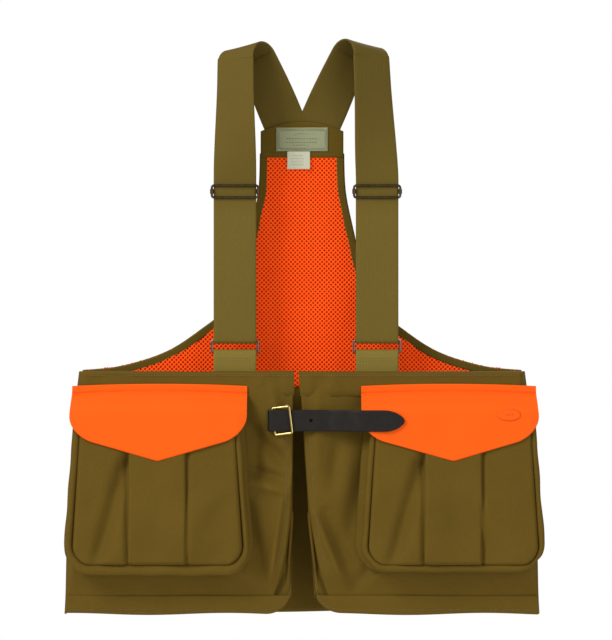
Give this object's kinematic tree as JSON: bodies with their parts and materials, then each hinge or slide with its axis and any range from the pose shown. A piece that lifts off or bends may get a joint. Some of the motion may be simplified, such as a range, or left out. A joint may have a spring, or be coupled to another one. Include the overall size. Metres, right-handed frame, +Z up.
{
  "type": "strap vest",
  "caption": "Strap field vest: canvas waist with bellows pockets and blaze flaps, front-loading bags, rear game bag, mesh back, webbing shoulder straps with slides, leather front strap.",
  "frame": {"origin": "midway between the two bends where the straps go over the shoulders", "axes": "+Z up, front faces -Y, +X to the right as seen from the front"},
  "size_m": [0.561, 0.113, 0.6744],
  "materials": {
    "canvas": "tight cotton canvas, olive brown",
    "blaze_cloth": "matte blaze-orange twill",
    "blaze_mesh": "open knitted polyester mesh",
    "binding": "folded grosgrain tape",
    "webbing": "ribbed cotton webbing",
    "bronze_wire": "dark antique bronze",
    "nickel_wire": "nickel-plated wire",
    "leather": "dark brown-black bridle leather",
    "brass": "polished solid brass",
    "label_cloth": "woven label",
    "badge": "stitched oval patch"
  },
  "bodies": {
    "root": {"armhole_binding_left": "binding", "armhole_binding_right": "binding", "back_mesh_panel": "blaze_mesh", "back_waist_panel": "canvas", "care_tag": "label_cloth", "closure_chape": "leather", "closure_rivets": "brass", "flap_seam_left": "blaze_cloth", "flap_seam_right": "blaze_cloth", "front_bag_left": "canvas", "front_bag_right": "canvas", "front_bag_strip_left": "canvas", "front_bag_strip_right": "canvas", "front_panel_left": "canvas", "front_panel_right": "canvas", "game_bag_outer": "canvas", "game_bag_strip": "canvas", "hem_band_left": "canvas", "hem_band_right": "canvas", "neck_label": "label_cloth", "pocket_face_left": "canvas", "pocket_face_right": "canvas", "pocket_gusset_left": "canvas", "pocket_gusset_right": "canvas", "pocket_pleat_left": "canvas", "pocket_pleat_right": "canvas", "shoulder_strap_left": "webbing", "shoulder_strap_right": "webbing", "side_panel_left": "canvas", "side_panel_right": "canvas", "snap_stud": "brass", "strap_return_left": "webbing", "strap_return_right": "webbing", "strap_tab_left": "webbing", "strap_tab_right": "webbing", "top_band_left": "canvas", "top_band_right": "canvas", "yoke_facing": "canvas", "yoke_outer": "canvas"},
    "left_flap": {"pocket_flap_left": "blaze_cloth"},
    "right_flap": {"pocket_flap_right": "blaze_cloth", "flap_badge": "badge"},
    "left_slide": {"slide_frame_left": "bronze_wire", "slide_bar_left": "bronze_wire", "strap_end_loop_left": "webbing"},
    "right_slide": {"slide_frame_right": "bronze_wire", "slide_bar_right": "bronze_wire", "strap_end_loop_right": "webbing"},
    "left_ring": {"strap_ring_left": "nickel_wire"},
    "right_ring": {"strap_ring_right": "nickel_wire"},
    "closure_tongue": {"closure_strap": "leather", "snap_socket": "brass"},
    "buckle": {"buckle_frame": "brass"}
  },
  "joints": [
    {"name": "left_flap_lift", "type": "hinge", "parent": "root", "child": "left_flap", "pos_m": [-0.166, -0.0378, -0.39005], "axis": [-1, 0, 0], "range_deg": [0, 100]},
    {"name": "closure_strap_swing", "type": "hinge", "parent": "root", "child": "closure_tongue", "pos_m": [-0.004, -0.0428, -0.4202], "axis": [0, 0, -1], "range_deg": [0, 90]},
    {"name": "right_flap_lift", "type": "hinge", "parent": "root", "child": "right_flap", "pos_m": [0.171, -0.0378, -0.39005], "axis": [-1, 0, 0], "range_deg": [0, 99]},
    {"name": "left_strap_slide", "type": "slide", "parent": "root", "child": "left_slide", "axis": [0, 0, 1], "range_m": [-0.07, 0.01]},
    {"name": "right_strap_slide", "type": "slide", "parent": "root", "child": "right_slide", "axis": [0, 0, 1], "range_m": [-0.07, 0.01]},
    {"name": "left_ring_rock", "type": "hinge", "parent": "root", "child": "left_ring", "pos_m": [-0.0785, -0.0152, -0.3414], "axis": [1, 0, 0], "range_deg": [-5, 5]},
    {"name": "right_ring_rock", "type": "hinge", "parent": "root", "child": "right_ring", "pos_m": [0.088, -0.0152, -0.3414], "axis": [1, 0, 0], "range_deg": [-5, 5]},
    {"name": "buckle_lift", "type": "hinge", "parent": "root", "child": "buckle", "pos_m": [-0.03311, -0.03943, -0.42159], "axis": [0.1237, -0.0417, -0.9914], "range_deg": [0, 95]}
  ],
  "couplings": [
    {"joint": "right_flap_lift", "follows": "closure_strap_swing", "ratio": 1.1}
  ]
}
